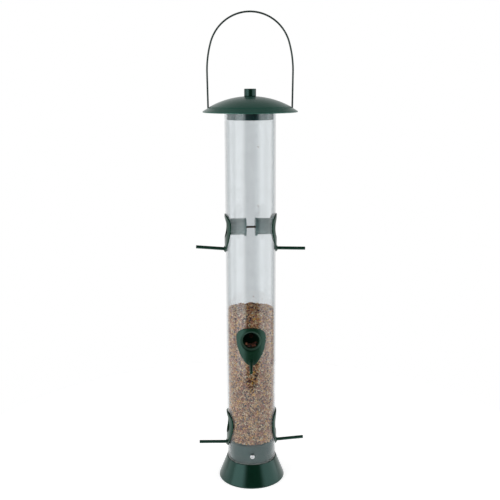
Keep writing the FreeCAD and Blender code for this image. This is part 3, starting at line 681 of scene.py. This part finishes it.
BOSS_END, PERCH_DROP = 32.2, 26.2
boss_outline = rounded([(0, 30.2), (3.45, 30.2), (3.45, BOSS_END), (0, BOSS_END)], [0, 0, 0.8, 0], 9)
boss_points, boss_faces = turned(boss_outline, 48)
boss_points = boss_points[..., [2, 1, 0]] * (1, 1, -1) - (0, 0, PERCH_DROP)


def port_mesh(name):
    shell = make_mesh(name, grid, faces)
    shell = subtract(shell, [(PLATE_OUTER, -12, -14)], [(25.2, 12, -8)])
    boss = make_mesh("boss", boss_points, boss_faces)
    work = bmesh.new()
    work.from_mesh(shell)
    work.from_mesh(boss)
    both = bpy.data.meshes.new(name)
    work.to_mesh(both)
    work.free()
    both.shade_smooth()
    both.set_sharp_from_angle(angle=math.radians(35))
    return both


def behind_the_tube(points):
    """True on the outside of the tunnel, for points of a port that still lies on the X axis."""
    return (np.hypot(points[:, 0], points[:, 1]) < 28.2) & (np.hypot(points[:, 1], points[:, 2]) > 10.4)


def in_the_mouth(points):
    """True on the floor of the sunk mouth and the first of the hole behind it."""
    from_axis = np.hypot(points[:, 1], points[:, 2])
    return (points[:, 0] > 26.9) & (points[:, 0] < 28.35) & (from_axis < 12.3) & (from_axis > 9.8)


for end in ENDS:
    mesh = port_mesh(f"port_{end}")
    piece(f"moulded_port_{end}", mesh, port_green, replaces=[f"port_{end}"])
    # The tunnel's outside, seen through the tube, gets a lighter copy of the port's green: painted light.
    further_finish(mesh, inside_painted_light, behind_the_tube)
    # The floor of the sunk mouth gets a lighter green: a painted highlight.
    further_finish(mesh, mouth_painted_highlight, in_the_mouth)
    stand = Matrix.Translation((0, 0, port_height[end] * MM)) @ Matrix.Rotation(port_turn[end], 4, "Z")
    mesh.transform(stand)

# %% [markdown]
# ## Perches
# A perch is a plain rod with a softened end. Its outline is turned about Z and then laid along the
# line that the engineering model gives.

# %% Perch rods
def laid_along(points, start, end):
    """Points made on the Z axis, moved so that the axis runs from start towards end."""
    along = (end - start) / np.linalg.norm(end - start)
    side = np.cross((0, 0, 1), along)
    side /= np.linalg.norm(side)
    return start + points @ np.stack([side, np.cross(along, side), along])


for end in ENDS:
    root, tip, radius = perch_lines[end]
    length = np.linalg.norm(tip - root)
    outline = rounded([(0, 0), (radius, 0), (radius, length), (0, length)], [0, 0.3, 0.45, 0])
    points, faces_of_rod = turned(outline, 32)
    points = laid_along(points.reshape(-1, 3), root, tip)
    piece(f"perch_rod_{end}", make_mesh(f"perch_rod_{end}", points, faces_of_rod), coated_rod,
          replaces=[f"perch_{end}"])

# %% [markdown]
# ## Lid
# The dome is a shallow cap with a flat for the knob, a fine step at its edge and a straight brim
# below it. Two slots let it slide up the bail. The knob is a short turned pin.

# %% Dome
dome_low, dome_high = (np.array(corner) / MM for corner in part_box("lid_dome"))
RIM_RADIUS, RIM_BOTTOM, SEAT = dome_high[0], dome_low[2], dome_high[2]
CREASE_RADIUS, CREASE_HEIGHT, SEAT_RADIUS = 47.3, 462.5, 8.0
LID_WALL = 1.5


def dome_arc(drop, outer_radius, count=26):
    """Arc of a circle centred on the axis, from the knob's flat out to a radius, lowered by drop."""
    rise = SEAT - CREASE_HEIGHT
    centre = SEAT - (CREASE_RADIUS ** 2 - SEAT_RADIUS ** 2 + rise ** 2) / (2 * rise)
    size = math.hypot(SEAT_RADIUS, SEAT - centre)
    r = np.linspace(SEAT_RADIUS, outer_radius, count)
    return np.stack([r, centre - drop + np.sqrt(size ** 2 - r ** 2)], -1)


over, under = dome_arc(0, CREASE_RADIUS), dome_arc(LID_WALL, CREASE_RADIUS - 0.3)[::-1]
brim = [
    (CREASE_RADIUS + 0.35, CREASE_HEIGHT - 0.5), (RIM_RADIUS - 0.3, RIM_BOTTOM + 1.3),
    (RIM_RADIUS, RIM_BOTTOM + 0.8), (RIM_RADIUS, RIM_BOTTOM), (RIM_RADIUS - 1.1, RIM_BOTTOM),
]
corners = np.vstack([[(0, SEAT)], over, brim, under, [(0, SEAT - LID_WALL)]])
radii = np.zeros(len(corners))
radii[len(over)] = 0.15
radii[len(over) + 1:len(over) + 6] = (0.1, 0.5, 0.3, 0.3, 0.3)
dome = make_mesh("dome", *turned(rounded(corners, radii), 256), sharp=50)
dome = subtract(dome, [(46.0, -1.5, 440), (-52.6, -1.5, 440)], [(52.6, 1.5, 480), (-46.0, 1.5, 480)])
piece("dome", dome, lid_green, body="lid", replaces=["lid_dome"])

# %% Plug and knob
plug_low, plug_high = (np.array(corner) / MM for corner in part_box("lid_plug"))
FLANGE_TOP, TUBE_TOP = tube_high[2] + 1.5, tube_high[2]
PLUG_RADIUS, PLUG_WALL, NOTCH_TOP, SLOT_HALF_WIDTH = 27.3, 1.5, 459.8, 1.5
plug_outline = rounded([
    (0, TUBE_TOP), (PLUG_RADIUS - PLUG_WALL, TUBE_TOP), (PLUG_RADIUS - PLUG_WALL, plug_low[2]),
    (PLUG_RADIUS, plug_low[2]), (PLUG_RADIUS, TUBE_TOP),
    (29.8, TUBE_TOP), (29.8, FLANGE_TOP), (7, FLANGE_TOP), (7, plug_high[2]), (0, plug_high[2]),
], [0, 0.8, 0.3, 0.5, 0.1, 0.2, 0.4, 0.8, 0.2, 0])
plug = make_mesh("plug", *turned(plug_outline, 160))
plug = subtract(plug, [(-40, -SLOT_HALF_WIDTH, plug_low[2] - 1)], [(40, SLOT_HALF_WIDTH, NOTCH_TOP)])
# The plug, seen through the tube, gets a lighter copy of the green: painted light.
piece("plug", plug, plug_painted_light, body="lid", replaces=["lid_plug"])

knob_high = np.array(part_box("lid_knob")[1]) / MM
KNOB_RADIUS = 7.0
knob_outline = rounded([
    (0, SEAT), (KNOB_RADIUS - 0.3, SEAT), (KNOB_RADIUS, SEAT + 0.6), (KNOB_RADIUS, knob_high[2]),
    (0, knob_high[2] - 0.15),
], [0, 0.2, 0.3, 0.9, 0], 9)
piece("knob", make_mesh("knob", *turned(knob_outline, 96)), moulded_green, body="lid",
      replaces=["lid_knob"])

# %% [markdown]
# ## Bail
# One stiff wire, bent over a former: a round top, long flatter sides, straight legs, and a short
# hook at each foot that goes through the tube's wall under the lid.

# %% Bail wire
def bail_line(step=1.2):
    """Middle line of the bail: half is worked out as tangent arcs and lines, then mirrored."""
    top_arc, side_arc, bend, foot = 46.8, 117.0, 3.0, 458.2
    lean, shoulder = math.radians(0.86), math.radians(16)
    top = np.array([0.0, 522.0])

    def arc(centre, radius, start, end):
        a = np.linspace(start, end, max(8, int(abs(end - start) * radius / step)))
        return np.stack([centre[0] + radius * np.cos(a), centre[1] + radius * np.sin(a)], -1)

    side = top + (top_arc - side_arc) * np.array([math.cos(shoulder), math.sin(shoulder)])
    leg_top = side + side_arc * np.array([math.cos(lean), -math.sin(lean)])
    drop = leg_top[1] - (foot + bend - bend * math.sin(lean))
    leg_foot = leg_top - np.array([drop * math.tan(lean), drop])
    bend_centre = leg_foot - bend * np.array([math.cos(lean), -math.sin(lean)])
    hook = np.linspace((26.0, foot), (bend_centre[0], foot), 12)[:-1]
    leg = np.linspace(leg_foot, leg_top, 12)[1:-1]
    half = np.vstack([
        hook, arc(bend_centre, bend, -np.pi / 2, -lean), leg,
        arc(side, side_arc, -lean, shoulder)[:-1], arc(top, top_arc, shoulder, np.pi / 2),
    ])
    return np.vstack([half, half[-2::-1] * (-1, 1)])


line = bail_line()
path = np.column_stack([line[:, 0], np.zeros(len(line)), line[:, 1]])
wire_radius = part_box("bail_wire")[1].y / MM
piece("bail", make_mesh("bail", *swept(path, wire_radius)), coated_wire,
      replaces=["bail_wire"])

# %% [markdown]
# ## Screws
# The screws, nuts and the washer keep their engineering shapes. Welding their loose triangles and
# splitting the sharp edges shades them smooth where they are round.

# %% Finishes for the metal nodes
METALS = {"base_screws": bright_zinc, "knob_screw": bright_zinc, "knob_washer": bright_zinc}
for level in ("upper", "middle", "lower"):
    METALS[f"tie_screw_{level}"] = dull_bronze
    METALS[f"tie_nut_{level}"] = dull_bronze
for name, finish in METALS.items():
    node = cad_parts[name]
    node.data.materials.clear()
    node.data.materials.append(finish)
    node.data.shade_smooth()
    weld = node.modifiers.new("weld", "WELD")
    weld.merge_threshold = 1e-6
    split_edges = node.modifiers.new("split", "EDGE_SPLIT")
    split_edges.split_angle = math.radians(30)

# %% [markdown]
# ## Seed
# The mix is wheat, red milo, cracked maize, white millet and dark rape and sunflower. Each grain is
# a low-poly ellipsoid, placed by a table of centres, directions and sizes worked out for thousands
# of grains at once. Two layers of grains lie against the wall of the tube, one behind the other,
# more lie on top, and a small heap lies in each port that seed can reach. A dark core fills the
# inside, which nobody sees.

# %% Grain shapes
def grain_template(segments=7, rings=3, groove=0.0):
    """Unit ellipsoid as rings between two poles; a groove sinks one side along its length."""
    angle = np.linspace(0, 2 * np.pi, segments, endpoint=False)
    lift = np.linspace(0, np.pi, rings + 2)[1:-1]
    dent = 1 - groove * np.exp(-((np.mod(angle + np.pi, 2 * np.pi) - np.pi) / 0.6) ** 2)
    body = np.stack([
        np.repeat(np.cos(lift)[:, None], segments, 1),
        np.sin(lift)[:, None] * np.cos(angle) * dent,
        np.sin(lift)[:, None] * np.sin(angle) * dent,
    ], -1).reshape(-1, 3)
    points = np.vstack([body, [(1, 0, 0)], [(-1, 0, 0)]])
    quads = grid_faces(rings, segments)
    count = rings * segments
    around = np.arange(segments)
    after = (around + 1) % segments
    first = np.stack([np.full(segments, count), after, around], -1)
    base = (rings - 1) * segments
    last = np.stack([np.full(segments, count + 1), base + around, base + after], -1)
    return points, quads, np.vstack([first, last])


def scatter_mesh(name, template, centres, frames, sizes, tones):
    """Mesh of many copies of a template: point = centre + (template times size) turned by frame.

    Each grain's tone, a number from 0 to 1, is kept as an attribute for its colour.
    """
    points, quads, triangles = template
    count, per = len(centres), len(points)
    placed = centres[:, None] + np.einsum("mi,nij->nmj", points, frames * sizes[:, :, None])
    offset = (np.arange(count) * per)[:, None, None]
    all_quads = (quads[None] + offset).reshape(-1, 4)
    all_triangles = (triangles[None] + offset).reshape(-1, 3)
    loops = np.concatenate([all_quads.ravel(), all_triangles.ravel()])
    mesh = bpy.data.meshes.new(name)
    mesh.vertices.add(count * per)
    mesh.vertices.foreach_set("co", (placed * MM).ravel())
    mesh.loops.add(len(loops))
    mesh.loops.foreach_set("vertex_index", loops)
    mesh.polygons.add(len(all_quads) + len(all_triangles))
    starts = np.concatenate([
        np.arange(len(all_quads)) * 4,
        len(all_quads) * 4 + np.arange(len(all_triangles)) * 3,
    ])
    mesh.polygons.foreach_set("loop_start", starts)
    mesh.update(calc_edges=True)
    mesh.shade_smooth()
    tone = mesh.attributes.new("tone", "FLOAT", "POINT")
    tone.data.foreach_set("value", np.repeat(tones, per))
    return mesh


# %% Places of the grains
rng = np.random.default_rng(7)
SEED_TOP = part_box("seed_fill")[1].z / MM
SEED_WALL = TUBE_RADIUS - TUBE_WALL - 0.15


def seed_surface(centres):
    """Height of the seed's uneven top over each centre: it sinks a little to the back, with two waves."""
    x, y = centres[:, 0], centres[:, 1]
    level = SEED_TOP - 0.7 - 1.2 * np.clip(y / SEED_WALL, 0, 1)
    return level + 0.35 * np.sin(0.45 * x + 1) + 0.3 * np.cos(0.6 * y + 0.2 * x)


def wall_layer(depth, row_gap, column_gap):
    """Centres of a jittered brick pattern on the tube's inside, with the direction out from the axis."""
    low = FLOOR - 0.2
    rows = int((SEED_TOP + 2 - low) / row_gap)
    columns = int(2 * np.pi * SEED_WALL / column_gap)
    row, column = np.meshgrid(np.arange(rows), np.arange(columns), indexing="ij")
    height = low + (row + 0.5 + rng.uniform(-0.4, 0.4, row.shape)) * row_gap
    angle = (column + 0.5 * (row % 2) + rng.uniform(-0.4, 0.4, row.shape)) * 2 * np.pi / columns
    height, angle = height.ravel(), angle.ravel()
    outward = np.stack([np.cos(angle), np.sin(angle), np.zeros_like(angle)], -1)
    reach = SEED_WALL - depth - rng.uniform(0, 0.9, len(angle))
    reach -= np.clip(FLOOR - height, 0, None) * 0.4
    centres = outward * reach[:, None]
    centres[:, 2] = height
    kept = height < seed_surface(centres) + rng.uniform(-1.6, 1.2, len(height))
    return centres[kept], outward[kept]


def clear_of_ports(centres):
    """True for grains that stand outside every tunnel and mouth."""
    free = np.ones(len(centres), bool)
    for end in ENDS:
        axis = np.array([math.cos(port_turn[end]), math.sin(port_turn[end]), 0])
        from_port = centres - (0, 0, port_height[end])
        reach = from_port @ axis
        off = np.linalg.norm(from_port - reach[:, None] * axis, axis=1)
        free &= ~((reach > 0) & (off < np.where(reach > 24.6, 15.0, 12.2)))
    return free


def top_layer(count):
    """Centres over the seed's uneven top, by the sunflower rule: radius is the root of the number."""
    number = np.arange(count) + 0.5
    reach = (SEED_WALL - 1.4) * np.sqrt(number / count)
    angle = number * 2.39996
    centres = np.stack([reach * np.cos(angle), reach * np.sin(angle), 0 * reach], -1)
    centres[:, 2] = seed_surface(centres) + rng.uniform(-1.3, 1.1, count)
    outward = np.tile((0.0, 0.0, 1.0), (count, 1))
    return centres, outward


def port_heap(end, count=60):
    """Centres of a small heap on the floor of one port's tunnel, rising towards its end plate."""
    along = rng.uniform(15.5, 24.5, count)
    aside = rng.uniform(-1, 1, count) * 6.0
    floor = -np.sqrt(8.3 ** 2 - aside ** 2)
    height = floor + rng.uniform(-0.3, 0.6, count)
    turn = port_turn[end]
    across = np.array([-math.sin(turn), math.cos(turn), 0])
    axis = np.array([math.cos(turn), math.sin(turn), 0])
    centres = along[:, None] * axis + aside[:, None] * across + np.outer(height + port_height[end], (0, 0, 1))
    return centres, np.tile((0.0, 0.0, 1.0), (count, 1))


front, front_out = wall_layer(1.1, 1.85, 2.3)
behind, behind_out = wall_layer(2.6, 2.4, 2.9)
wall, wall_out = np.vstack([front, behind]), np.vstack([front_out, behind_out])
free = clear_of_ports(wall)
parts = [(wall[free], wall_out[free]), top_layer(560)]
loose_count = sum(len(part[0]) for part in parts)
parts += [port_heap(end) for end in ENDS if port_height[end] < SEED_TOP]
centres = np.vstack([part[0] for part in parts])
outward = np.vstack([part[1] for part in parts])
print("grains:", len(centres))


# %% Directions and kinds
def grain_frames(outward):
    """Three unit vectors per grain: its length lies across the outward direction, at a random turn."""
    count = len(outward)
    loose = rng.normal(size=(count, 3))
    length = np.cross(outward, loose)
    length /= np.linalg.norm(length, axis=1)[:, None]
    length += 0.35 * rng.normal(size=(count, 3))
    length /= np.linalg.norm(length, axis=1)[:, None]
    width = np.cross(outward, length)
    width /= np.linalg.norm(width, axis=1)[:, None]
    return np.stack([length, width, np.cross(length, width)], 1)


# name, share of the mix, half sizes in millimetres, groove, colours from dark to light
KINDS = [
    ("wheat", 0.26, (2.30, 1.05, 0.95), 0.25,
     [(0.26, 0.115, 0.045), (0.62, 0.33, 0.14), (0.84, 0.58, 0.31)]),
    ("milo", 0.30, (1.45, 1.35, 1.20), 0.0,
     [(0.13, 0.040, 0.022), (0.42, 0.16, 0.085), (0.66, 0.34, 0.20)]),
    ("millet", 0.28, (1.10, 1.00, 0.95), 0.0,
     [(0.44, 0.26, 0.13), (0.80, 0.58, 0.35), (0.90, 0.78, 0.58)]),
    ("maize", 0.08, (1.5, 1.25, 1.0), 0.0,
     [(0.55, 0.24, 0.05), (0.80, 0.42, 0.09), (0.88, 0.60, 0.22)]),
    ("dark_seed", 0.08, (1.55, 1.05, 0.95), 0.0,
     [(0.020, 0.013, 0.011), (0.070, 0.046, 0.040), (0.18, 0.13, 0.12)]),
]


def grain_finish(name, colours):
    """Husk: the grain's tone picks a colour, a fine noise mottles it and wrinkles the skin."""
    material, nodes, link = new_finish(name)
    place = nodes.new("ShaderNodeTexCoord").outputs["Object"]
    tone = nodes.new("ShaderNodeAttribute")
    tone.attribute_name = "tone"
    mottle = noise(nodes, link, place, 700, 3.0)
    spread = between(nodes, link, mottle, 0.3, 0.7, -0.16, 0.16)
    mixed = total(nodes, link, tone.outputs["Fac"], spread, clamp=True)
    shader = nodes.new("ShaderNodeBsdfPrincipled")
    colour = ramp(nodes, link, mixed, list(zip((0.0, 0.5, 1.0), colours)))
    link(colour, shader.inputs["Base Color"])
    link(between(nodes, link, mottle, 0.3, 0.7, 0.5, 0.68), shader.inputs["Roughness"])
    link(bump(nodes, link, noise(nodes, link, place, 1500, 2.0), 8e-5), shader.inputs["Normal"])
    show(nodes, link, shader)
    return material


frames = grain_frames(outward)
kind_of = rng.choice(len(KINDS), size=len(centres), p=[kind[1] for kind in KINDS])
in_port = np.arange(len(centres)) >= loose_count
kind_of[in_port] = rng.choice([1, 4], size=in_port.sum(), p=[0.35, 0.65])
for number, (name, share, half, groove, colours) in enumerate(KINDS):
    mine = kind_of == number
    sizes = np.array(half) * rng.uniform(0.85, 1.12, (mine.sum(), 1))
    # Grains in the port heaps get tones half a step darker: painted shade of the tunnels.
    tones = np.clip(rng.normal(0.5, 0.32, mine.sum()) - 0.5 * in_port[mine], 0, 1)
    mesh = scatter_mesh(f"seed_{name}", grain_template(groove=groove), centres[mine], frames[mine],
                        sizes, tones)
    piece(f"seed_{name}", mesh, grain_finish(f"husk_{name}", colours),
          replaces=["seed_fill"] if number == 0 else ())

# %% [markdown]
# A few specks of chaff cling to the inside of the clear wall above the seed, as static holds them.

# %% Clinging chaff
speck_angle = np.radians([-71.5, -71.8, -70.5, -84, -62, -101, -95, -48])
speck_height = np.array([418.0, 350, 342, 242, 238, 233, 229, 227])
out_of_tube = np.stack([np.cos(speck_angle), np.sin(speck_angle), 0 * speck_angle], -1)
places = out_of_tube * (TUBE_RADIUS - TUBE_WALL - 0.35) + np.outer(speck_height, (0, 0, 1))
speck_sizes = np.outer(rng.uniform(0.8, 1.2, len(places)), (0.75, 0.45, 0.25))
chaff = scatter_mesh("chaff", grain_template(), places, grain_frames(out_of_tube), speck_sizes,
                     rng.uniform(0, 0.6, len(places)))
piece("chaff", chaff, bpy.data.materials["husk_milo"])

# %% [markdown]
# The core is the engineering model's plain solid, drawn in a few millimetres so that it hides
# behind the grains. Its colour is that of the shadow between grains.

# %% Seed core
def shrunk_core(inset, drop):
    """Copy of the plain solid whose wall moves in towards the axis and whose top moves down."""
    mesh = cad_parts["seed_fill"].data.copy()
    work = bmesh.new()
    work.from_mesh(mesh)
    bmesh.ops.remove_doubles(work, verts=work.verts, dist=1e-7)
    work.to_mesh(mesh)
    work.free()
    flat = np.empty(len(mesh.vertices) * 3)
    mesh.vertices.foreach_get("co", flat)
    points = flat.reshape(-1, 3)
    reach = np.linalg.norm(points[:, :2], axis=1)
    wall = reach > reach.max() - 1e-5
    points[wall, :2] *= 1 - inset * MM / reach[wall, None]
    points[:, 2] = np.where(points[:, 2] > points[:, 2].max() - 1e-5, points[:, 2] - drop * MM, points[:, 2])
    mesh.vertices.foreach_set("co", points.ravel())
    mesh.update()
    return mesh


def core_finish():
    """Shadowed seed: cells of a Voronoi pattern, a grain across, between dark browns."""
    material, nodes, link = new_finish("seed_shadow")
    place = nodes.new("ShaderNodeTexCoord").outputs["Object"]
    cells = nodes.new("ShaderNodeTexVoronoi")
    cells.inputs["Scale"].default_value = 300
    link(place, cells.inputs["Vector"])
    shader = nodes.new("ShaderNodeBsdfPrincipled")
    tone = nodes.new("ShaderNodeSeparateColor")
    link(cells.outputs["Color"], tone.inputs[0])
    colour = ramp(nodes, link, tone.outputs[0], [(0, (0.05, 0.028, 0.016)), (1, (0.16, 0.10, 0.055))])
    link(colour, shader.inputs["Base Color"])
    shader.inputs["Roughness"].default_value = 0.8
    link(bump(nodes, link, cells.outputs["Distance"], 5e-4), shader.inputs["Normal"])
    show(nodes, link, shader)
    return material


piece("seed_core", shrunk_core(3.6, 3.0), core_finish())

# %% [markdown]
# ## Floor
# The feeder stands on a round white table whose front is cut straight, close to the feeder, so that
# only the lowest part of the tube mirrors it. It gives back a little light of its own, which keeps
# it white and the shadow at the foot faint.

# %% Floor
TABLE_RADIUS, TABLE_FRONT = 0.42, -0.33
ring = np.linspace(0, 2 * np.pi, 96, endpoint=False)
along_front = np.maximum(TABLE_RADIUS * np.sin(ring), TABLE_FRONT)
rim = np.stack([TABLE_RADIUS * np.cos(ring), along_front, 0 * ring], -1)
floor_mesh = bpy.data.meshes.new("floor")
floor_mesh.from_pydata(rim.tolist(), [], [list(range(len(rim)))])
floor = bpy.data.objects.new("floor", floor_mesh)
bpy.context.scene.collection.objects.link(floor)
material, nodes, link = new_finish("white_table")
shader = nodes.new("ShaderNodeBsdfPrincipled")
shader.inputs["Base Color"].default_value = (0.8, 0.8, 0.8, 1)
shader.inputs["Roughness"].default_value = 0.9
shader.inputs["Emission Color"].default_value = (1, 1, 1, 1)
shader.inputs["Emission Strength"].default_value = 0.66
show(nodes, link, shader)
floor_mesh.materials.append(material)
